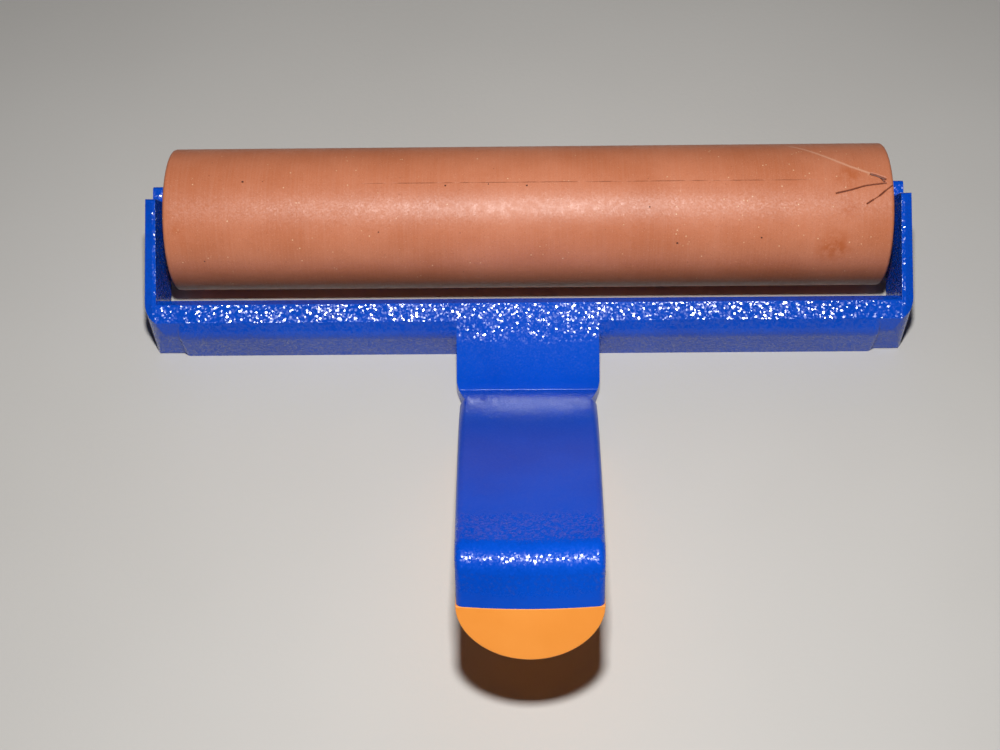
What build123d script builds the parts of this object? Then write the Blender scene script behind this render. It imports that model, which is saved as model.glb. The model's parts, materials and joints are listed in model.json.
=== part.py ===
from build123d import *
import math
import os

# Hand brayer for block printing: a rubber roller turning in a one-piece plastic frame whose
# handle rises towards the user.  Millimetres, +Z up, +X along the roller, -Y towards the user.
# The roller and the flat foot under the cross beam both rest on the plane Z = 0.  The origin is
# on that plane, in the middle of the overall box.

# ---------------------------------------------------------------- driving dimensions
ROLLER_DIAMETER = 30.5
ROLLER_LENGTH = 152.4
RUBBER_THICKNESS = 4.2
RUBBER_EDGE_RADIUS = 0.7
CORE_WALL = 2.4
AXLE_DIAMETER = 4.76
AXLE_LENGTH = 159.4
AXLE_CHAMFER = 0.6
AXLE_RUNNING_CLEARANCE = 0.05
AXLE_Y = 47.39

PLUG_LENGTH = 11.0
PLUG_FLANGE_THICKNESS = 0.8
PLUG_FLANGE_INSET = 0.3
PLUG_NOSE_LENGTH = 0.4
PLUG_POCKET_DEPTH = 7.5
PLUG_HUB_WALL = 1.9
PLUG_RIM_WALL = 1.6

ARM_INNER_X = 78.1
ARM_TIP_THICKNESS = 1.95
ARM_BASE_THICKNESS = 2.55
ARM_FACE_LAND = 0.75
ARM_FACE_LEAN = 18.0
ARM_SLOPE = 35.6
ARM_FACE_ACROSS = 12.8
ARM_END_ALONG = 3.3
EAR_ALONG = 6.65
EAR_HALF_WIDTH = 5.6
LEAD_IN_WIDTH = 5.0
LEAD_IN_DEPTH = 1.2
LEAD_IN_START = 3.6
ARM_TIP_Y = 12.0
ARM_SHOULDER_RADIUS = 0.9
EAR_STEP_RADIUS = 0.6
EAR_TIP_RADIUS = 0.8
EAR_CHIN_RADIUS = 4.0
ARM_HEEL_RADIUS = 2.2

LEDGE_SLOPE = 33.5
CREASE = (-26.1, 12.3)
LEDGE_FOLD_Y = -22.9
LEDGE_FOLD_RADIUS = 0.3
LEDGE_BACK = (-20.7, 13.15)
LEDGE_BACK_RADIUS = 0.3
BEAM_HEEL = (-20.9, 0.0)
BEAM_HEEL_RADIUS = 0.8
BEAM_BELLY = (-26.7, 9.0)
BEAM_BELLY_RADIUS = 4.0
BEAM_TOE = (-24.9, 0.0)
BEAM_TOE_RADIUS = 0.5
SWELL_BELLY = (-27.55, 9.2)
SWELL_TOE = (-25.6, 0.0)
SWELL_HALF_LENGTH = 74.0
SWELL_END_RADIUS = 1.0
SWELL_BACK = -22.9
BEAM_CORNER_RADIUS = 4.6
BEAM_BAY_LENGTH = 22.6
BEAM_BAY_PITCH = 24.9
BEAM_BAYS = 6
BAY_SECTION = (
    (-18.5, 2.3), (-23.1, 2.3), (-23.9, 4.6), (-24.7, 8.0), (-24.3, 9.8), (-22.5, 11.6), (-18.5, 11.6)
)

NECK_HALF_WIDTH = 14.95
NECK_ROOT = -24.6
NECK_BACK = -23.2
NECK_TAPER_START = -36.4
NOTCH_HALF_WIDTH = 13.6
NOTCH_Y = -40.4
NOTCH_LENGTH = 3.4
NECK_START_FALL = -0.66
NECK_END_FALL = -0.95
NECK_MIDDLE = (-32.0, 8.0)
VALLEY = (-37.6, 3.6)
VALLEY_RISE = 0.5
NECK_UNDERSIDE = 0.6
NECK_UNDERSIDE_END = -45.5
NECK_POCKET_CEILING = 2.2
NECK_POCKET = (11.2, 9.6)
NECK_POCKET_CENTRE = (6.7, -33.4)
GRIP_FRONT_HALF_WIDTH = 14.1
GRIP_END_HALF_WIDTH = 12.5
GRIP_SWELL = ((-47.0, 10.9), (-58.0, 19.0), (-75.0, 29.5), (-88.0, 37.0))
RIDGE = (-98.5, 43.3)
RIDGE_RISE = 0.62
END_LEAN = 34.5
END_CROWN = 0.9
SHELL_DEPTH = 10.64
SHELL_WALL = 2.5
PARTING_FRONT = (-50.0, 3.2)
GRIP_EDGE_RADIUS = 1.3
GRIP_OUTLINE_END = -110.5
RIDGE_RADIUS = 4.5
CAVITY_FRONT_INSET = 4.0
CAVITY_END_INSET = 4.2
CAVITY_FRONT_CEILING = 6.6
CAVITY_END_CEILING = 8.6

BELLY_FRONT_DEPTH = 1.8
BELLY_DEPTH = 9.6
BELLY_OVERHANG = 0.25
BELLY_WALL = 2.4
BELLY_STATIONS = (0, 12, 28, 46, 72)
BELLY_HOLLOW_STATIONS = (9, 28, 46)
LIP_HEIGHT = 2.0
LIP_THICKNESS = 1.4
LIP_CLEARANCE = 0.2
POST_DIAMETER = 5.0
POST_CLEARANCE = 0.02
POST_STATIONS = (17.0, 46.0)
POST_TOP = 5.8
POST_HOLE_TOP = 6.4
BOSS_DIAMETER = 8.6
BOSS_FLOOR = 2.6
BOSS_TOP = 8.0

# ---------------------------------------------------------------- derived values and planes
ROLLER_RADIUS = ROLLER_DIAMETER / 2
CORE_RADIUS = ROLLER_RADIUS - RUBBER_THICKNESS
CORE_BORE_RADIUS = CORE_RADIUS - CORE_WALL
AXLE_RADIUS = AXLE_DIAMETER / 2
AXLE_Z = ROLLER_RADIUS
LEDGE_RISE = (LEDGE_FOLD_Y - CREASE[0]) * math.tan(math.radians(LEDGE_SLOPE))
LEDGE_FOLD = (LEDGE_FOLD_Y, CREASE[1] + LEDGE_RISE)
# One radius for each corner of the beam's and the arms' side view, from the sharp crease on.
BEAM_CORNER_RADII = [
    0,
    LEDGE_FOLD_RADIUS,
    LEDGE_BACK_RADIUS,
    BEAM_HEEL_RADIUS,
    BEAM_TOE_RADIUS,
    BEAM_BELLY_RADIUS,
]
ARM_CORNER_RADII = [
    0,
    ARM_SHOULDER_RADIUS,
    EAR_STEP_RADIUS,
    EAR_TIP_RADIUS,
    EAR_CHIN_RADIUS,
    ARM_HEEL_RADIUS,
    BEAM_TOE_RADIUS,
    BEAM_BELLY_RADIUS,
]
# Helper solids and cuts run this far past what they have to reach, and start this far before it.
REACH = 130.0
OVERCUT = 1.0
# The helper that trims the handle's end is wider than the handle, with the same crown.
TRIM_HALF_WIDTH = 16.0
TRIM_CROWN = END_CROWN * (TRIM_HALF_WIDTH / GRIP_END_HALF_WIDTH) ** 2
# The edges round the grip's top are picked by where they are and which way they run.
TOP_OUTLINE_X = 11.0
TOP_OUTLINE_HEIGHT = 3.0
ALONG_AN_AXIS = 0.95
MOSTLY_ALONG_X = 0.8

# Side view: its own X runs along the object's Y from the roller's axis, its own Y runs up.
SIDE = Plane(origin=(0, AXLE_Y, 0), x_dir=(0, 1, 0), z_dir=(1, 0, 0))
# Plan view with its zero under the roller's axis.
PLAN = Plane(origin=(0, AXLE_Y, 0), x_dir=(1, 0, 0), z_dir=(0, 0, 1))


def on_arm(along, across):
    """Side-view point given along the arm from the axle and across it towards the ledge side."""
    slope = math.radians(ARM_SLOPE)
    y = along * math.cos(slope) - across * math.sin(slope)
    z = AXLE_Z + along * math.sin(slope) + across * math.cos(slope)
    return (y, z)


def down_end(distance):
    """Side-view point on the handle's end face, measured down from the ridge."""
    lean = math.radians(END_LEAN)
    return (RIDGE[0] - distance * math.sin(lean), RIDGE[1] - distance * math.cos(lean))


# The parting line between the handle's shell and its belly, straight in side view.
PARTING_END = down_end(SHELL_DEPTH)
PARTING_LENGTH = math.dist(PARTING_FRONT, PARTING_END)
PARTING_RISE = math.atan2(PARTING_END[1] - PARTING_FRONT[1], PARTING_FRONT[0] - PARTING_END[0])
CAVITY_END = PARTING_LENGTH - CAVITY_END_INSET
CAVITY_HALF_WIDTH = GRIP_END_HALF_WIDTH - SHELL_WALL


def off_parting(distance, height):
    """Side-view point given along the parting line from its front end and square to it."""
    y = PARTING_FRONT[0] - distance * math.cos(PARTING_RISE) + height * math.sin(PARTING_RISE)
    z = PARTING_FRONT[1] + distance * math.sin(PARTING_RISE) + height * math.cos(PARTING_RISE)
    return (y, z)


def grip_half_width(distance):
    """Half width of the grip at a distance along the parting line."""
    share = distance / PARTING_LENGTH
    return GRIP_FRONT_HALF_WIDTH + (GRIP_END_HALF_WIDTH - GRIP_FRONT_HALF_WIDTH) * share


def belly_depth(distance):
    """Depth of the belly below the parting line, shallow at the neck and full at the end."""
    quarter_turn = math.pi / 2 * min(distance / PARTING_LENGTH, 1.0)
    return BELLY_FRONT_DEPTH + (BELLY_DEPTH - BELLY_FRONT_DEPTH) * math.sin(quarter_turn)


def across_grip(distance):
    """Plane square to the parting line, its own Y pointing out of the handle's top."""
    y, z = off_parting(distance, 0)
    return Plane(
        origin=(0, AXLE_Y + y, z),
        x_dir=(1, 0, 0),
        z_dir=(0, -math.cos(PARTING_RISE), math.sin(PARTING_RISE)),
    )


def on_top_outline(edge):
    """True for the edges round the grip's top, from the notch past both sides to the end face."""
    middle = edge @ 0.5
    y = middle.Y - AXLE_Y
    rise = (y - PARTING_FRONT[0]) * math.sin(PARTING_RISE)
    height = rise + (middle.Z - PARTING_FRONT[1]) * math.cos(PARTING_RISE)
    upright = abs(edge.tangent_at(0.5).Z) > ALONG_AN_AXIS
    beside = abs(middle.X) > TOP_OUTLINE_X
    return beside and y < NOTCH_Y and height > TOP_OUTLINE_HEIGHT and not upright


# Plane square to the arms, through the crease: its own Y points down into the arms' upper face.
ARM_FACE = Plane(
    origin=(0, AXLE_Y + CREASE[0], CREASE[1]),
    x_dir=(1, 0, 0),
    z_dir=(0, math.cos(math.radians(ARM_SLOPE)), math.sin(math.radians(ARM_SLOPE))),
)
# Plane of the parting line: its own X runs towards the handle's end, its own Z out of the top.
PARTING = Plane(
    origin=(0, AXLE_Y + PARTING_FRONT[0], PARTING_FRONT[1]),
    x_dir=(0, -math.cos(PARTING_RISE), math.sin(PARTING_RISE)),
    z_dir=(0, math.sin(PARTING_RISE), math.cos(PARTING_RISE)),
)
# Plane square to the handle's end face, through the ridge.
END = Plane(
    origin=(0, AXLE_Y + RIDGE[0], RIDGE[1]),
    x_dir=(1, 0, 0),
    z_dir=(0, math.sin(math.radians(END_LEAN)), math.cos(math.radians(END_LEAN))),
)

os.makedirs("parts", exist_ok=True)

# ---------------------------------------------------------------- handle end envelope
# A helper solid: both handle pieces are trimmed by its crowned wall, so their ends are flush.
with BuildPart() as end_envelope:
    with BuildSketch(END):
        with BuildLine():
            crown = ThreePointArc((-TRIM_HALF_WIDTH, TRIM_CROWN), (0, 0), (TRIM_HALF_WIDTH, TRIM_CROWN))
            Polyline(crown @ 1, (TRIM_HALF_WIDTH, REACH), (-TRIM_HALF_WIDTH, REACH), crown @ 0)
        make_face()
    extrude(amount=REACH, both=True)

# ---------------------------------------------------------------- frame, swell of the beam's front
# A helper solid, added to the yoke: its ends are rounded back to the beam's plain front.
with BuildPart() as swell:
    with BuildSketch(SIDE):
        with BuildLine():
            Polyline(CREASE, (SWELL_BACK, CREASE[1]), (SWELL_BACK, 0), SWELL_TOE)
            FilletPolyline(SWELL_TOE, SWELL_BELLY, CREASE, radius=BEAM_BELLY_RADIUS)
        make_face()
    extrude(amount=SWELL_HALF_LENGTH, both=True)
    swell_ends = swell.edges().filter_by(
        lambda edge: abs(edge.center().X) > SWELL_HALF_LENGTH / 2
        and edge.center().Y < AXLE_Y + SWELL_TOE[0]
    )
    fillet(swell_ends, SWELL_END_RADIUS)

# ---------------------------------------------------------------- frame, yoke end
# A cross beam with an arm at each end.  Each arm carries an ear with the axle's seat.
with BuildPart() as yoke:
    with BuildSketch(SIDE):
        with BuildLine():
            FilletPolyline(
                CREASE,
                LEDGE_FOLD,
                LEDGE_BACK,
                BEAM_HEEL,
                BEAM_TOE,
                BEAM_BELLY,
                radius=BEAM_CORNER_RADII,
                close=True,
            )
        make_face()
    extrude(amount=ARM_INNER_X + ARM_BASE_THICKNESS, both=True)

    for side in (-1, 1):
        with BuildSketch(SIDE.offset(side * ARM_INNER_X)):
            with BuildLine():
                FilletPolyline(
                    CREASE,
                    on_arm(ARM_END_ALONG, ARM_FACE_ACROSS),
                    on_arm(ARM_END_ALONG, EAR_HALF_WIDTH),
                    on_arm(EAR_ALONG, EAR_HALF_WIDTH),
                    on_arm(EAR_ALONG, -EAR_HALF_WIDTH),
                    BEAM_HEEL,
                    BEAM_TOE,
                    BEAM_BELLY,
                    radius=ARM_CORNER_RADII,
                    close=True,
                )
            make_face()
        extrude(amount=side * ARM_BASE_THICKNESS)

    # The outer faces lean in towards the tips, and the front corners are rounded in plan.
    with BuildSketch(PLAN) as yoke_outline:
        base_x = ARM_INNER_X + ARM_BASE_THICKNESS
        tip_x = ARM_INNER_X + ARM_TIP_THICKNESS
        Polygon(
            (-base_x, BEAM_BELLY[0]),
            (base_x, BEAM_BELLY[0]),
            (tip_x, ARM_TIP_Y),
            (-tip_x, ARM_TIP_Y),
            align=None,
        )
        fillet(yoke_outline.vertices().group_by(Axis.Y)[0], BEAM_CORNER_RADIUS)
    extrude(amount=REACH, mode=Mode.INTERSECT)

    # Each arm's upper face keeps a narrow land beside the roller and leans away outside it.
    for side in (-1, 1):
        with BuildSketch(ARM_FACE):
            land_x = side * (ARM_INNER_X + ARM_FACE_LAND)
            past_x = side * (ARM_INNER_X + 2 * ARM_BASE_THICKNESS)
            drop = abs(past_x - land_x) * math.tan(math.radians(ARM_FACE_LEAN))
            Polygon((land_x, 0), (past_x, -drop), (past_x, drop), align=None)
        extrude(amount=REACH, mode=Mode.SUBTRACT)

    # Between the rounded corners the beam's front swells a little further out.
    add(swell.part)

    # Bays cored out of the beam's back leave a front wall, two flanges and a row of ribs.
    for bay in range(BEAM_BAYS):
        bay_x = (bay - (BEAM_BAYS - 1) / 2) * BEAM_BAY_PITCH
        with BuildSketch(SIDE.offset(bay_x)):
            Polygon(*BAY_SECTION, align=None)
        extrude(amount=BEAM_BAY_LENGTH / 2, both=True, mode=Mode.SUBTRACT)

# ---------------------------------------------------------------- frame, handle end
# The neck drops from the ledge into a valley, and the handle's upper shell rises from it.
with BuildPart() as handle:
    with BuildSketch(SIDE.offset(-NECK_HALF_WIDTH - OVERCUT)):
        with BuildLine():
            Spline(
                CREASE, NECK_MIDDLE, VALLEY, tangents=[(-1, NECK_START_FALL), (-1, NECK_END_FALL)]
            )
            Spline(VALLEY, *GRIP_SWELL, RIDGE, tangents=[(-1, VALLEY_RISE), (-1, RIDGE_RISE)])
            Polyline(
                RIDGE,
                PARTING_END,
                PARTING_FRONT,
                (NECK_UNDERSIDE_END, NECK_UNDERSIDE),
                (NECK_ROOT, NECK_UNDERSIDE),
                CREASE,
            )
        make_face()
    extrude(amount=2 * (NECK_HALF_WIDTH + OVERCUT))

    with BuildSketch(PLAN):
        with BuildLine():
            Polyline(
                (0, NECK_BACK),
                (NECK_HALF_WIDTH, NECK_BACK),
                (NECK_HALF_WIDTH, NECK_TAPER_START),
                (NOTCH_HALF_WIDTH, NOTCH_Y),
                (GRIP_FRONT_HALF_WIDTH, NOTCH_Y - NOTCH_LENGTH),
                (GRIP_END_HALF_WIDTH, GRIP_OUTLINE_END),
                (0, GRIP_OUTLINE_END),
            )
            mirror(about=Plane.YZ)
        make_face()
    extrude(amount=REACH, mode=Mode.INTERSECT)
    add(end_envelope.part, mode=Mode.INTERSECT)

    # Soft edges: the ridge first, then the grip's outline from the notch round the end.
    across = handle.edges().filter_by(lambda edge: abs(edge.tangent_at(0.5).X) > MOSTLY_ALONG_X)
    fillet(across.sort_by(Axis.Z)[-1], RIDGE_RADIUS)
    fillet(handle.edges().filter_by(on_top_outline), GRIP_EDGE_RADIUS)

    # The shell is cored out above the parting line, with two bosses for the belly's posts.
    with BuildSketch(SIDE.offset(-CAVITY_HALF_WIDTH)):
        Polygon(
            off_parting(CAVITY_FRONT_INSET, -OVERCUT),
            off_parting(CAVITY_END, -OVERCUT),
            off_parting(CAVITY_END, CAVITY_END_CEILING),
            off_parting(CAVITY_FRONT_INSET, CAVITY_FRONT_CEILING),
            align=None,
        )
    extrude(amount=2 * CAVITY_HALF_WIDTH, mode=Mode.SUBTRACT)
    with BuildSketch(PARTING.offset(BOSS_FLOOR)):
        with Locations([(station, 0) for station in POST_STATIONS]):
            Circle(BOSS_DIAMETER / 2)
    extrude(amount=BOSS_TOP - BOSS_FLOOR)
    with BuildSketch(PARTING.offset(BOSS_FLOOR)):
        with Locations([(station, 0) for station in POST_STATIONS]):
            Circle(POST_DIAMETER / 2 + POST_CLEARANCE)
    extrude(amount=POST_HOLE_TOP - BOSS_FLOOR, mode=Mode.SUBTRACT)

    # Two pockets under the neck leave a middle rib.
    with BuildSketch(PLAN.offset(NECK_UNDERSIDE - OVERCUT)):
        pocket_x, pocket_y = NECK_POCKET_CENTRE
        with Locations((-pocket_x, pocket_y), (pocket_x, pocket_y)):
            Rectangle(*NECK_POCKET)
    extrude(amount=NECK_POCKET_CEILING - NECK_UNDERSIDE + OVERCUT, mode=Mode.SUBTRACT)

# The one-piece frame, with the axle's seats bored through the ears and a lead-in groove on the
# inside of each, along which the axle's ends slide while the arms are sprung apart.
with BuildPart() as frame:
    add(yoke.part)
    add(handle.part)
    with BuildSketch(SIDE):
        with Locations((0, AXLE_Z)):
            Circle(AXLE_RADIUS + AXLE_RUNNING_CLEARANCE)
    extrude(amount=REACH, both=True, mode=Mode.SUBTRACT)
    for side in (-1, 1):
        with BuildSketch(SIDE.offset(side * ARM_INNER_X)):
            Polygon(
                on_arm(LEAD_IN_START, -LEAD_IN_WIDTH / 2),
                on_arm(EAR_ALONG + OVERCUT, -LEAD_IN_WIDTH / 2),
                on_arm(EAR_ALONG + OVERCUT, LEAD_IN_WIDTH / 2),
                on_arm(LEAD_IN_START, LEAD_IN_WIDTH / 2),
                align=None,
            )
        extrude(amount=side * LEAD_IN_DEPTH, mode=Mode.SUBTRACT)
frame.part.label = "frame"

# ---------------------------------------------------------------- belly grip
# The rounded lower half of the handle: a hollow half-elliptical shell that deepens towards the
# end, with a lip that centres it in the frame's shell and two posts that press into the bosses.


def belly_section(distance, inset):
    """Half ellipse below the parting line, on the plane across the grip at a distance."""
    half_width = grip_half_width(distance) + BELLY_OVERHANG - inset
    depth = belly_depth(distance) - inset
    with BuildSketch(across_grip(distance)) as section:
        with BuildLine():
            bottom = EllipticalCenterArc((0, 0), half_width, depth, start_angle=180, arc_size=180)
            Line(bottom @ 1, bottom @ 0)
        make_face()
    return section.sketch


with BuildPart() as belly_hollow:
    loft([belly_section(station, BELLY_WALL) for station in (*BELLY_HOLLOW_STATIONS, CAVITY_END)])

with BuildPart() as belly_grip:
    loft([belly_section(station, 0) for station in BELLY_STATIONS])
    add(end_envelope.part, mode=Mode.INTERSECT)
    add(belly_hollow.part, mode=Mode.SUBTRACT)

    lip_length = CAVITY_END - CAVITY_FRONT_INSET - 2 * LIP_CLEARANCE
    lip_width = 2 * (CAVITY_HALF_WIDTH - LIP_CLEARANCE)
    lip_middle = (CAVITY_FRONT_INSET + CAVITY_END) / 2
    with BuildSketch(PARTING.offset(-OVERCUT)):
        with Locations((lip_middle, 0)):
            Rectangle(lip_length, lip_width)
            Rectangle(
                lip_length - 2 * LIP_THICKNESS,
                lip_width - 2 * LIP_THICKNESS,
                mode=Mode.SUBTRACT,
            )
    extrude(amount=LIP_HEIGHT + OVERCUT)
    for station in POST_STATIONS:
        foot = belly_depth(station) - BELLY_WALL / 2
        with BuildSketch(PARTING.offset(-foot)):
            with Locations((station, 0)):
                Circle(POST_DIAMETER / 2)
        extrude(amount=foot + POST_TOP)
belly_grip.part.label = "belly_grip"

# ---------------------------------------------------------------- roller
# Rubber sleeve bonded on a plastic core tube.
with BuildPart() as rubber_sleeve:
    with BuildSketch(SIDE.offset(-ROLLER_LENGTH / 2)):
        with Locations((0, AXLE_Z)):
            Circle(ROLLER_RADIUS)
            Circle(CORE_RADIUS, mode=Mode.SUBTRACT)
    extrude(amount=ROLLER_LENGTH)
    rims = rubber_sleeve.edges().filter_by(GeomType.CIRCLE)
    fillet(rims.group_by(SortBy.RADIUS)[-1], RUBBER_EDGE_RADIUS)
rubber_sleeve.part.label = "rubber_sleeve"

with BuildPart() as core_tube:
    with BuildSketch(SIDE.offset(-ROLLER_LENGTH / 2)):
        with Locations((0, AXLE_Z)):
            Circle(CORE_RADIUS)
            Circle(CORE_BORE_RADIUS, mode=Mode.SUBTRACT)
    extrude(amount=ROLLER_LENGTH)
core_tube.part.label = "core_tube"

with BuildPart() as axle:
    with BuildSketch(SIDE.offset(-AXLE_LENGTH / 2)):
        with Locations((0, AXLE_Z)):
            Circle(AXLE_RADIUS)
    extrude(amount=AXLE_LENGTH)
    chamfer(axle.edges().filter_by(GeomType.CIRCLE), AXLE_CHAMFER)
axle.part.label = "axle"


def end_plug_profile(side):
    """Half section of an end plug in side-of-axle coordinates, for the +X or the -X end."""
    end_x = ROLLER_LENGTH / 2
    pocket_floor = end_x + PLUG_FLANGE_THICKNESS - PLUG_POCKET_DEPTH
    hub_radius = AXLE_RADIUS + PLUG_HUB_WALL
    pocket_radius = CORE_BORE_RADIUS - PLUG_RIM_WALL
    points = [
        (end_x - PLUG_LENGTH, AXLE_RADIUS),
        (end_x - PLUG_LENGTH, CORE_BORE_RADIUS),
        (end_x, CORE_BORE_RADIUS),
        (end_x, CORE_RADIUS - PLUG_FLANGE_INSET),
        (end_x + PLUG_FLANGE_THICKNESS, CORE_RADIUS - PLUG_FLANGE_INSET),
        (end_x + PLUG_FLANGE_THICKNESS, pocket_radius),
        (pocket_floor, pocket_radius),
        (pocket_floor, hub_radius),
        (end_x + PLUG_FLANGE_THICKNESS + PLUG_NOSE_LENGTH, hub_radius),
        (end_x + PLUG_FLANGE_THICKNESS + PLUG_NOSE_LENGTH, AXLE_RADIUS),
    ]
    return [(side * x, radius) for x, radius in points]


# Half-section plane through the axle: its own X is the object's X, its own Y is the radius.
HALF_SECTION = Plane(origin=(0, AXLE_Y, AXLE_Z), x_dir=(1, 0, 0), z_dir=(0, -1, 0))
AXLE_LINE = Axis((0, AXLE_Y, AXLE_Z), (1, 0, 0))

with BuildPart() as end_plug_left:
    with BuildSketch(HALF_SECTION):
        Polygon(*end_plug_profile(-1), align=None)
    revolve(axis=AXLE_LINE)
end_plug_left.part.label = "end_plug_left"

with BuildPart() as end_plug_right:
    with BuildSketch(HALF_SECTION):
        Polygon(*end_plug_profile(1), align=None)
    revolve(axis=AXLE_LINE)
end_plug_right.part.label = "end_plug_right"

# ---------------------------------------------------------------- export
for piece in (frame, belly_grip, rubber_sleeve, core_tube, axle, end_plug_left, end_plug_right):
    export_step(piece.part, f"parts/{piece.part.label}.step")

whole = Compound(children=[frame.part, belly_grip.part, rubber_sleeve.part])
print("overall box", whole.bounding_box())
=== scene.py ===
import json
import math

import bpy
from mathutils import Matrix, Vector


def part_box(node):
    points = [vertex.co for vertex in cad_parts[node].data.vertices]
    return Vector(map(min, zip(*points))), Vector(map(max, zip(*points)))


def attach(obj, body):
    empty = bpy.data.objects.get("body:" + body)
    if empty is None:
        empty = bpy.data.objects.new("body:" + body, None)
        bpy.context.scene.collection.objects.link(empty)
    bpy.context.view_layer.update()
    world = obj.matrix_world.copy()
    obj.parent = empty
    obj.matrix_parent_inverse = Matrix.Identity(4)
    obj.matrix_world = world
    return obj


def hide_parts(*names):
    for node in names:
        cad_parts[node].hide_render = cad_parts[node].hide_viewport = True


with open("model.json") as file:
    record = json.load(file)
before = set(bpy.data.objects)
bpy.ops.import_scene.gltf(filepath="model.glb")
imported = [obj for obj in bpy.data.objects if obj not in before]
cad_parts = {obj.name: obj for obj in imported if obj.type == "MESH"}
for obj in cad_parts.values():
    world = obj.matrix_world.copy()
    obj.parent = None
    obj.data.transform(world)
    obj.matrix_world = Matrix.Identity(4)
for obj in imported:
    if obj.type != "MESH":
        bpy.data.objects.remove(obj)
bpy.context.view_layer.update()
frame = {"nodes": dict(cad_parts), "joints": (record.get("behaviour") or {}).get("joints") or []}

MM = 0.001

# Where the roller's axle is, in the row frame.
AXLE = Vector(frame["joints"][0]["pos_m"])

# ---------------------------------------------------------------- camera
# The view is given from the axle: metres back, left and above the floor, and degrees.
CAMERA_LEFT = 0.0006
CAMERA_BACK = 0.2280
CAMERA_HEIGHT = 0.2762
CAMERA_PITCH = 54.52
CAMERA_PAN = 1.57
CAMERA_ROLL = -1.67
CAMERA_LENS = 57.1
SENSOR_WIDTH = 36
CLIP_START = 0.01

camera = bpy.data.objects.new("camera", bpy.data.cameras.new("camera"))
bpy.context.scene.collection.objects.link(camera)
camera_turn = (
    Matrix.Rotation(math.radians(CAMERA_PAN), 3, "Z")
    @ Matrix.Rotation(math.radians(90 - CAMERA_PITCH), 3, "X")
    @ Matrix.Rotation(math.radians(CAMERA_ROLL), 3, "Z")
)
camera.rotation_euler = camera_turn.to_euler()
camera.location = (-CAMERA_LEFT, AXLE.y - CAMERA_BACK, CAMERA_HEIGHT)
camera.data.lens = CAMERA_LENS
camera.data.sensor_width = SENSOR_WIDTH
camera.data.clip_start = CLIP_START
bpy.context.scene.camera = camera

# ---------------------------------------------------------------- light
# The key is a small light just above the camera.  The others are name, place, target, size and
# power, in metres and watts.
KEY_ABOVE_CAMERA = 0.096
KEY_SIZE = 0.022
KEY_POWER = 1.25
OBJECT_MIDDLE = (0, 0, 0.01)
FILL_LIGHTS = (
    ("overhead", (-0.10, 0.15, 1.60), (0, 0, 0), 1.2, 0.36),
    ("side_left", (-0.85, -0.25, 0.45), OBJECT_MIDDLE, 0.6, 0.06),
    ("side_right", (0.85, -0.1, 0.4), OBJECT_MIDDLE, 0.6, 0.05),
)
WORLD_COLOUR = (0.9, 0.92, 1.0, 1)
WORLD_STRENGTH = 0.008


def area_light(name, location, target, size, power):
    """A square soft light that faces the target."""
    data = bpy.data.lights.new(name, "AREA")
    data.size = size
    data.energy = power
    light = bpy.data.objects.new(name, data)
    bpy.context.scene.collection.objects.link(light)
    light.location = location
    aim = Vector(target) - Vector(location)
    light.rotation_euler = aim.to_track_quat("-Z", "Y").to_euler()


camera_up = camera_turn @ Vector((0, 1, 0))
key_place = Vector(camera.location) + camera_up * KEY_ABOVE_CAMERA
area_light("key", key_place, OBJECT_MIDDLE, KEY_SIZE, KEY_POWER)
for fill_light in FILL_LIGHTS:
    area_light(*fill_light)

world = bpy.data.worlds.new("studio")
world.use_nodes = True
background = world.node_tree.nodes["Background"]
background.inputs["Color"].default_value = WORLD_COLOUR
background.inputs["Strength"].default_value = WORLD_STRENGTH
bpy.context.scene.world = world
bpy.context.scene.view_settings.view_transform = "Standard"


# ---------------------------------------------------------------- material helpers
# Grains lean further along the roller than across it.
FACET_SPREAD = (1.0, 0.58, 0.58)
# How far a rounded edge's normal agrees with the flat one where it counts as no edge, and as one.
EDGE_UNTURNED = 0.995
EDGE_TURNED = 0.80


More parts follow.
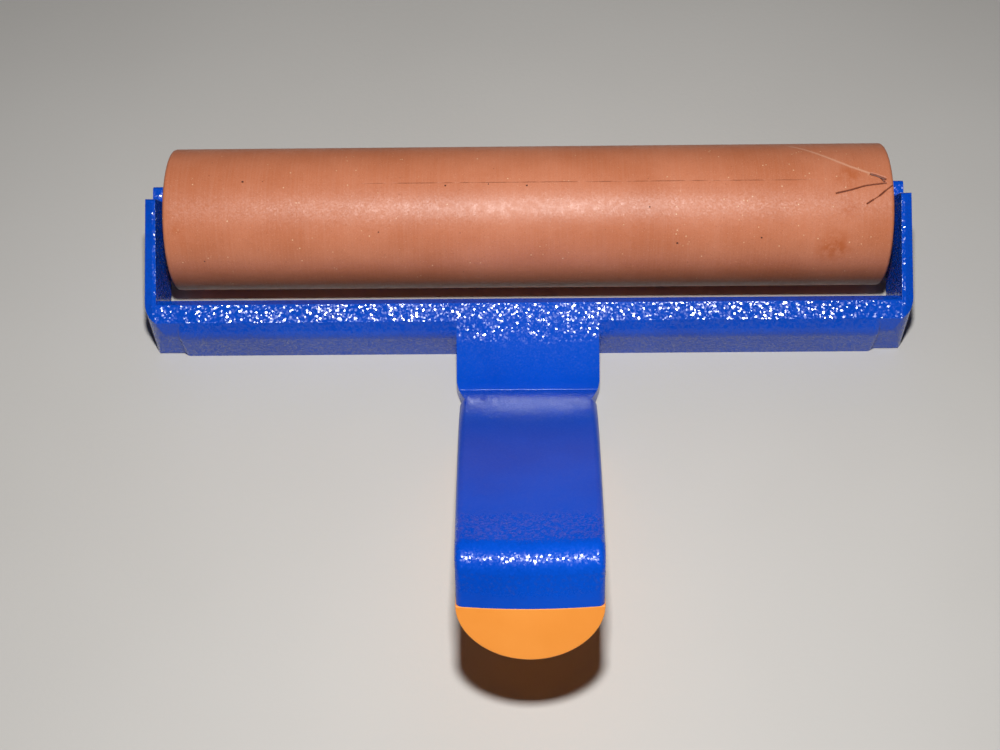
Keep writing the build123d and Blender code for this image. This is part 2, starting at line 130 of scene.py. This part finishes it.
class Graph:
    """A material's node tree, with one short call for each kind of node."""

    def __init__(self, name):
        self.material = bpy.data.materials.new(name)
        self.material.use_nodes = True
        self.tree = self.material.node_tree
        self.shader = self.tree.nodes["Principled BSDF"]
        self.place = self.node("ShaderNodeTexCoord").outputs["Object"]

    def node(self, kind, settings=None, inputs=None):
        made = self.tree.nodes.new(kind)
        for key, value in (settings or {}).items():
            setattr(made, key, value)
        for key, value in (inputs or {}).items():
            self.feed(made.inputs[key], value)
        return made

    def feed(self, socket, value):
        if isinstance(value, bpy.types.NodeSocket):
            self.tree.links.new(value, socket)
        else:
            socket.default_value = value

    def set(self, **values):
        """Sets the shader's sockets: an underscore in a name stands for a space."""
        for key, value in values.items():
            self.feed(self.shader.inputs[key.replace("_", " ")], value)

    def math(self, operation, first, second=0.0):
        inputs = {0: first, 1: second}
        return self.node("ShaderNodeMath", {"operation": operation}, inputs).outputs[0]

    def times(self, first, second):
        return self.math("MULTIPLY", first, second)

    def vector(self, operation, inputs):
        return self.node("ShaderNodeVectorMath", {"operation": operation}, inputs).outputs

    def scaled(self, x, y, z):
        """The object's coordinates, stretched along each axis."""
        inputs = {"Vector": self.place, "Scale": (x, y, z)}
        return self.node("ShaderNodeMapping", None, inputs).outputs[0]

    def noise(self, scale, detail=2.0, roughness=0.5, vector=None):
        inputs = {
            "Vector": self.place if vector is None else vector,
            "Scale": scale,
            "Detail": detail,
            "Roughness": roughness,
        }
        return self.node("ShaderNodeTexNoise", None, inputs).outputs["Fac"]

    def cells(self, scale, output="Distance"):
        inputs = {"Vector": self.place, "Scale": scale}
        return self.node("ShaderNodeTexVoronoi", None, inputs).outputs[output]

    def ramp(self, value, low, high, new_low=0.0, new_high=1.0):
        settings = {"interpolation_type": "SMOOTHSTEP", "clamp": True}
        inputs = {
            "Value": value,
            "From Min": low,
            "From Max": high,
            "To Min": new_low,
            "To Max": new_high,
        }
        return self.node("ShaderNodeMapRange", settings, inputs).outputs["Result"]

    def mix(self, share, first, second):
        inputs = {0: share, 6: first, 7: second}
        return self.node("ShaderNodeMix", {"data_type": "RGBA"}, inputs).outputs[2]

    def bump(self, height, distance, strength=1.0, normal=None):
        inputs = {"Height": height, "Distance": distance, "Strength": strength}
        if normal is not None:
            inputs["Normal"] = normal
        return self.node("ShaderNodeBump", None, inputs).outputs["Normal"]

    def facets(self, scale, tilt, normal):
        """The normal tipped at random from one grain to the next."""
        spread = self.vector("SUBTRACT", {0: self.cells(scale, "Color"), 1: (0.5, 0.5, 0.5)})[0]
        spread = self.vector("MULTIPLY", {0: spread, 1: FACET_SPREAD})[0]
        spread = self.vector("SCALE", {0: spread, "Scale": tilt})[0]
        tipped = self.vector("ADD", {0: spread, 1: normal})[0]
        return self.vector("NORMALIZE", {0: tipped})[0]

    def near(self, point, radius, soft):
        """1 close to a point, falling over the soft share of a radius to 0 at that radius."""
        away = self.vector("DISTANCE", {0: self.place, 1: point})["Value"]
        return self.ramp(away, radius, radius * (1 - soft))

    def edges(self, radius):
        """The normal rounded over sharp edges, and how much an edge has turned it; the materials
        use the latter to paint edge highlights.
        """
        rounded = self.node("ShaderNodeBevel", {"samples": 6}, {"Radius": radius})
        flat = self.node("ShaderNodeNewGeometry").outputs["Normal"]
        agree = self.vector("DOT_PRODUCT", {0: rounded.outputs[0], 1: flat})["Value"]
        return rounded.outputs[0], self.ramp(agree, EDGE_UNTURNED, EDGE_TURNED)


def colour(red, green, blue):
    return (red, green, blue, 1.0)


# ---------------------------------------------------------------- materials
# The frame's finish changes along Y, measured back from the roller's axle: sparkling grain on the
# beam, gloss on the neck that the hand has polished, satin on the grip's top.  The grain comes back
# at the handle's end, between two heights.
GLOSS_FROM = AXLE.y - 27 * MM
GLOSS_TO = AXLE.y - 31 * MM
SATIN_FROM = AXLE.y - 36 * MM
SATIN_TO = AXLE.y - 40 * MM
END_FROM = 35 * MM
END_TO = 38 * MM
FRAME_GRAIN = 2900
GRAIN_TILT = 0.42
GLOSS_TILT_LESS = 0.34
GLOSS_ROUGH_LESS = 0.03
SATIN_ROUGH_MORE = 0.22
END_ROUGH_MORE = 0.06


def frame_plastic():
    """Royal blue plastic out of a spark-eroded mould: gloss broken up by a fine grain."""
    g = Graph("frame_plastic")
    rounded, edge = g.edges(0.16 * MM)
    dark, light = colour(0.0006, 0.060, 0.49), colour(0.0012, 0.073, 0.56)
    base = g.mix(g.ramp(g.noise(45, 3), 0.35, 0.65), dark, light)
    fleck = g.ramp(g.noise(5200, 1), 0.66, 0.78)
    base = g.mix(g.times(fleck, 0.18), base, colour(0.03, 0.22, 0.85))
    # Painted highlight: sharp edges are lightened towards a paler blue, as if catching the light.
    base = g.mix(g.times(edge, 0.30), base, colour(0.03, 0.20, 0.85))

    split = g.node("ShaderNodeSeparateXYZ", None, {0: g.place}).outputs
    end = g.ramp(split["Z"], END_FROM, END_TO)
    not_end = g.math("SUBTRACT", 1.0, end)
    gloss = g.times(g.ramp(split["Y"], GLOSS_FROM, GLOSS_TO), not_end)
    satin = g.times(g.ramp(split["Y"], SATIN_FROM, SATIN_TO), not_end)
    rough = g.ramp(g.noise(FRAME_GRAIN, 2, 0.55), 0.3, 0.7, 0.13, 0.20)
    rough = g.math("ADD", rough, g.times(end, END_ROUGH_MORE))
    rough = g.math("ADD", rough, g.times(satin, SATIN_ROUGH_MORE))
    rough = g.math("SUBTRACT", rough, g.times(gloss, GLOSS_ROUGH_LESS))

    normal = g.bump(g.noise(160, 2), 0.02 * MM, 0.5, rounded)
    tilt = g.math("SUBTRACT", GRAIN_TILT, g.times(gloss, GLOSS_TILT_LESS))
    normal = g.facets(FRAME_GRAIN, tilt, normal)
    g.set(Base_Color=base, Roughness=rough, Normal=normal, IOR=1.5)
    return g.material


def grip_plastic():
    """Satin orange plastic."""
    g = Graph("grip_plastic")
    rounded, edge = g.edges(0.3 * MM)
    dark, light = colour(0.92, 0.305, 0.039), colour(0.97, 0.340, 0.052)
    base = g.mix(g.ramp(g.noise(60, 3), 0.35, 0.65), dark, light)
    # Painted highlight: edges, such as the parting edge, are lightened towards a pale orange line.
    base = g.mix(g.times(edge, 0.45), base, colour(1.0, 0.50, 0.22))
    grain = g.noise(3600, 2)
    rough = g.ramp(grain, 0.3, 0.7, 0.40, 0.52)
    normal = g.bump(grain, 0.012 * MM, 1.0, rounded)
    g.set(Base_Color=base, Roughness=rough, Normal=normal, IOR=1.5)
    return g.material


# Marks on the rubber are placed in millimetres along the roller and degrees up from the side that
# faces the user.  A pinhole also has its radius; a stain its radius and its strength.
PINHOLES = (
    (-59.5, 80, 0.30),
    (-17.0, 75, 0.24),
    (0.0, 74.5, 0.24),
    (-8.0, 76, 0.16),
    (31.3, 27, 0.26),
    (25.5, 56, 0.18),
    (48.8, 31, 0.22),
    (-31.0, 38, 0.18),
    (-68.0, 14, 0.20),
    (-40.0, 205, 0.26),
    (12.0, 240, 0.22),
    (52.0, 300, 0.24),
    (-20.0, 320, 0.20),
)
STAINS = (
    (64.0, 22, 5.2, 0.9),
    (66.8, 54, 3.0, 0.55),
    (66.8, 79, 4.2, 0.6),
    (-74.0, 40, 5.0, 0.35),
    (70.0, 215, 6.0, 0.5),
    (-50.0, 280, 6.0, 0.35),
)
HAIRLINE_ANGLE = 77.5
HAIRLINE = (-38.0, 63.0)
HAIRLINE_FADE = 12

sleeve_low, sleeve_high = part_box("rubber_sleeve")
SLEEVE_RADIUS = (sleeve_high.z - sleeve_low.z) / 2
SLEEVE_HALF = sleeve_high.x


def on_roller(x, degrees, radius=SLEEVE_RADIUS):
    """Point on the roller from millimetres along it and degrees up from the user's side."""
    turn = math.radians(degrees)
    y = AXLE.y - radius * math.cos(turn)
    return (x * MM, y, AXLE.z + radius * math.sin(turn))


def roller_rubber():
    """Ground terracotta rubber with specks, pinholes, stains and cuts."""
    g = Graph("roller_rubber")
    split = g.node("ShaderNodeSeparateXYZ", None, {0: g.place}).outputs
    cloud = g.noise(55, 4, 0.6)
    base = g.mix(g.ramp(cloud, 0.3, 0.7), colour(0.54, 0.165, 0.072), colour(0.62, 0.210, 0.105))
    rings = g.noise(1.0, 2, 0.6, g.scaled(2600, 60, 60))
    base = g.mix(g.times(g.ramp(rings, 0.35, 0.75), 0.16), base, colour(0.68, 0.30, 0.19))
    speck = g.noise(4200, 2, 0.6)
    base = g.mix(g.times(g.ramp(speck, 0.60, 0.78), 0.5), base, colour(0.80, 0.42, 0.28))
    base = g.mix(g.times(g.ramp(speck, 0.42, 0.28), 0.4), base, colour(0.34, 0.10, 0.05))

    # Sparse pale grains of filler, and sparse pores painted dark as the shade inside them.
    grains = g.cells(900)
    pick = g.noise(310, 1)
    pale = g.times(g.ramp(grains, 0.16, 0.09), g.ramp(pick, 0.58, 0.66))
    base = g.mix(g.times(pale, 0.75), base, colour(0.92, 0.62, 0.38))
    # Painted shade: the pores are darkened nearly to black.
    pore = g.times(g.ramp(grains, 0.13, 0.08), g.ramp(pick, 0.36, 0.30))
    base = g.mix(g.times(pore, 0.6), base, colour(0.12, 0.03, 0.015))

    blotch = g.ramp(g.noise(420, 4, 0.65), 0.35, 0.62)
    for x, degrees, radius, depth in STAINS:
        near = g.near(on_roller(x, degrees), radius * MM, 0.9)
        share = g.times(g.times(near, blotch), depth)
        base = g.mix(share, base, colour(0.47, 0.10, 0.018))

    # A mould's hairline along the roller.
    turn = math.radians(HAIRLINE_ANGLE)
    along_y = g.times(g.math("SUBTRACT", split["Y"], AXLE.y), math.sin(turn))
    along_z = g.times(g.math("SUBTRACT", split["Z"], AXLE.z), math.cos(turn))
    aside = g.math("ABSOLUTE", g.math("ADD", along_y, along_z))
    upper = g.math("GREATER_THAN", split["Z"], AXLE.z)
    line = g.times(g.ramp(aside, 0.09 * MM, 0.02 * MM), upper)
    reach = g.times(
        g.ramp(split["X"], HAIRLINE[0] * MM, (HAIRLINE[0] + HAIRLINE_FADE) * MM),
        g.ramp(split["X"], HAIRLINE[1] * MM, (HAIRLINE[1] - HAIRLINE_FADE) * MM),
    )
    line = g.times(g.times(line, reach), g.ramp(g.noise(300, 2), 0.3, 0.6))
    base = g.mix(g.times(line, 0.42), base, colour(0.30, 0.07, 0.03))

    holes = 0.0
    for x, degrees, radius in PINHOLES:
        holes = g.math("MAXIMUM", holes, g.near(on_roller(x, degrees), radius * MM, 0.55))
    # Painted shade: the pinholes are coloured nearly black, standing in for the shadow inside them.
    base = g.mix(g.times(holes, 0.92), base, colour(0.06, 0.018, 0.01))

    crease = g.node("ShaderNodeAttribute", {"attribute_name": "crease"}).outputs["Fac"]
    base = g.mix(g.times(crease, 0.5), base, colour(0.86, 0.50, 0.34))
    # Painted shade: the cuts are coloured nearly black, standing in for the shadow inside them.
    cut = g.node("ShaderNodeAttribute", {"attribute_name": "cut"}).outputs["Fac"]
    base = g.mix(g.times(cut, 0.93), base, colour(0.10, 0.018, 0.008))

    rough = g.ramp(g.noise(700, 3, 0.6), 0.3, 0.7, 0.40, 0.50)
    normal = g.bump(rings, 0.004 * MM)
    normal = g.bump(g.math("ADD", holes, line), -0.12 * MM, 1.0, normal)
    normal = g.facets(3600, 0.13, normal)
    g.set(Base_Color=base, Roughness=rough, Normal=normal, IOR=1.48)
    return g.material


def core_plastic():
    """Off-white moulded plastic, faintly dusty."""
    g = Graph("core_plastic")
    rounded, edge = g.edges(0.25 * MM)
    cloud = g.noise(220, 4, 0.6)
    base = g.mix(g.ramp(cloud, 0.35, 0.7), colour(0.74, 0.74, 0.70), colour(0.66, 0.655, 0.60))
    # Painted highlight: edges are lightened towards near white.
    base = g.mix(g.times(edge, 0.4), base, colour(0.88, 0.88, 0.86))
    grain = g.noise(2600, 2)
    normal = g.bump(grain, 0.012 * MM, 1.0, rounded)
    g.set(Base_Color=base, Roughness=g.ramp(grain, 0.3, 0.7, 0.38, 0.5), Normal=normal)
    return g.material


def axle_steel():
    """Bright drawn steel with fine lines along the rod."""
    g = Graph("axle_steel")
    rounded, edge = g.edges(0.15 * MM)
    lines = g.noise(1.0, 3, 0.6, g.scaled(120, 6500, 6500))
    base = g.mix(g.ramp(lines, 0.3, 0.7), colour(0.60, 0.61, 0.63), colour(0.72, 0.73, 0.75))
    # Painted highlight: edges are lightened towards a brighter steel.
    base = g.mix(g.times(edge, 0.3), base, colour(0.85, 0.85, 0.86))
    normal = g.bump(lines, 0.006 * MM, 1.0, rounded)
    rough = g.ramp(lines, 0.3, 0.7, 0.20, 0.34)
    g.set(Base_Color=base, Metallic=1.0, Roughness=rough, Normal=normal)
    return g.material


def floor_paint():
    """Plain pale matt floor."""
    g = Graph("floor_paint")
    cloud = g.noise(9, 3)
    base = g.mix(g.ramp(cloud, 0.3, 0.7), colour(0.56, 0.54, 0.51), colour(0.59, 0.57, 0.54))
    grain = g.noise(900, 3)
    g.set(Base_Color=base, Roughness=0.9, Normal=g.bump(grain, 0.03 * MM))
    return g.material


MATERIALS = {
    "frame_plastic": frame_plastic(),
    "grip_plastic": grip_plastic(),
    "roller_rubber": roller_rubber(),
    "core_plastic": core_plastic(),
    "axle_steel": axle_steel(),
}
NODE_SLOTS = {
    "frame": "frame_plastic",
    "belly_grip": "grip_plastic",
    "core_tube": "core_plastic",
    "end_plug_left": "core_plastic",
    "end_plug_right": "core_plastic",
    "axle": "axle_steel",
}
for node_name, slot_name in NODE_SLOTS.items():
    node = frame["nodes"][node_name]
    node.data.materials.clear()
    node.data.materials.append(MATERIALS[slot_name])


# ---------------------------------------------------------------- rubber sleeve
# Cuts in the rubber as lines of (millimetres along, degrees up), with a width and a depth in
# millimetres, and the pale crease that runs up from them.
CUTS = (
    (((64.2, 65.8), (67.4, 68.6), (70.2, 71.8), (72.0, 72.8), (74.6, 74.0)), 0.20, 0.35),
    (((70.5, 57.2), (71.8, 60.3)), 0.20, 0.30),
    (((71.8, 60.3), (73.1, 63.4)), 0.12, 0.12),
    (((73.1, 63.4), (74.4, 67.6)), 0.22, 0.32),
    (((74.4, 67.6), (76.0, 72.2)), 0.16, 0.20),
    (((71.7, 82.2), (72.7, 80.9), (73.6, 79.2), (74.5, 77.6)), 0.34, 0.35),
    (((73.4, 79.6), (73.9, 77.2), (74.3, 75.4)), 0.26, 0.30),
)
CREASE_LINE = ((56.0, 121), (58.5, 114), (62.0, 103.5), (65.0, 95.5), (67.6, 89.5), (71.7, 82.2))
CREASE_WIDTH = 0.42
# How quickly a cut's painted shade and its depth rise from its edge to its middle line.
CUT_SHADE_RISE = 1.6
CUT_WALL_RISE = 1.3
# The mesh is fine where the cuts are, from FINE_X to the right end and between two angles.
FINE_X = 54.0
FINE_ANGLES = (54.0, 123.0)
FINE_STEP = 0.10
COARSE_STEP = 1.5
COARSE_DEGREES = 3.0
SLEEVE_BORE_RADIUS = 11.05
RIM_RADIUS = 0.7
RIM_STEPS = 8


def line_distance(point, line):
    """Distance from a point to a line of straight runs, both in millimetres of the flat sheet."""
    best = math.inf
    for (x0, y0), (x1, y1) in zip(line, line[1:]):
        dx, dy = x1 - x0, y1 - y0
        share = ((point[0] - x0) * dx + (point[1] - y0) * dy) / (dx * dx + dy * dy)
        share = min(1.0, max(0.0, share))
        best = min(best, math.hypot(point[0] - x0 - share * dx, point[1] - y0 - share * dy))
    return best


def flat_sheet(line):
    """A line of marks with its degrees turned into millimetres round the roller."""
    return [(x, math.radians(degrees) * SLEEVE_RADIUS / MM) for x, degrees in line]


def spread(start, end, step):
    """Evenly spaced values from start up to, not including, end."""
    count = max(1, round((end - start) / step))
    return [start + (end - start) * i / count for i in range(count)]


def sleeve_profile(half, radius):
    """Points of (along, radius) from the left end's bore over both rims to the right end's."""
    turns = [math.pi / 2 * step / RIM_STEPS for step in range(1, RIM_STEPS + 1)]
    rim = [(RIM_RADIUS * math.sin(a), RIM_RADIUS * (1 - math.cos(a))) for a in turns]
    flat_end = half - RIM_RADIUS
    profile = [(-half, SLEEVE_BORE_RADIUS)]
    profile += [(-flat_end - out, radius - drop) for out, drop in reversed(rim)]
    profile += [(x, radius) for x in spread(-flat_end, FINE_X, COARSE_STEP)]
    profile += [(x, radius) for x in spread(FINE_X, flat_end, FINE_STEP)]
    profile += [(flat_end, radius)]
    profile += [(flat_end + out, radius - drop) for out, drop in rim]
    profile += [(half, SLEEVE_BORE_RADIUS)]
    return profile


def marks(here, cuts, crease_line):
    """Share of cut, share of crease and depth in millimetres at a place on the flat sheet."""
    cut = sink = 0.0
    for line, width, depth in cuts:
        share = max(0.0, 1 - line_distance(here, line) / width)
        cut = max(cut, min(1.0, share * CUT_SHADE_RISE))
        sink = max(sink, depth * min(1.0, share * CUT_WALL_RISE))
    share = max(0.0, 1 - line_distance(here, crease_line) / CREASE_WIDTH)
    crease = share * share * (3 - 2 * share)
    return cut, crease, sink


def rubber_sleeve():
    """A lathed tube with rounded rims, its cuts pressed into the mesh where it is finest."""
    radius = SLEEVE_RADIUS / MM
    profile = sleeve_profile(SLEEVE_HALF / MM, radius)
    angles = spread(*FINE_ANGLES, math.degrees(FINE_STEP / radius))
    angles += spread(FINE_ANGLES[1], FINE_ANGLES[0] + 360, COARSE_DEGREES)

    cuts = [(flat_sheet(line), width, depth) for line, width, depth in CUTS]
    crease_line = flat_sheet(CREASE_LINE)
    vertices, cut_share, crease_share = [], [], []
    for x, r in profile:
        for degrees in angles:
            cut = crease = sink = 0.0
            if x > FINE_X and degrees < FINE_ANGLES[1] and r > SLEEVE_BORE_RADIUS:
                here = (x, math.radians(degrees) * radius)
                cut, crease, sink = marks(here, cuts, crease_line)
            vertices.append(on_roller(x, degrees, (r - sink) * MM))
            cut_share.append(cut)
            crease_share.append(crease)

    rows, columns = len(profile), len(angles)
    faces = []
    for row in range(rows):
        here, below = row * columns, (row + 1) % rows * columns
        for column in range(columns):
            beside = (column + 1) % columns
            faces.append((here + column, here + beside, below + beside, below + column))
    mesh = bpy.data.meshes.new("sleeve")
    mesh.from_pydata(vertices, [], faces)
    for name, values in (("cut", cut_share), ("crease", crease_share)):
        mesh.attributes.new(name, "FLOAT", "POINT").data.foreach_set("value", values)
    mesh.update()
    mesh.shade_smooth()
    mesh.materials.append(MATERIALS["roller_rubber"])
    piece = bpy.data.objects.new("sleeve", mesh)
    bpy.context.scene.collection.objects.link(piece)
    return piece


sleeve = rubber_sleeve()
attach(sleeve, "roller")
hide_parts("rubber_sleeve")

# ---------------------------------------------------------------- floor
FLOOR_HALF = 1.5
floor_mesh = bpy.data.meshes.new("floor")
floor_signs = ((-1, -1), (1, -1), (1, 1), (-1, 1))
floor_corners = [(x * FLOOR_HALF, y * FLOOR_HALF, 0) for x, y in floor_signs]
floor_mesh.from_pydata(floor_corners, [], [(0, 1, 2, 3)])
floor_mesh.materials.append(floor_paint())
floor = bpy.data.objects.new("floor", floor_mesh)
bpy.context.scene.collection.objects.link(floor)
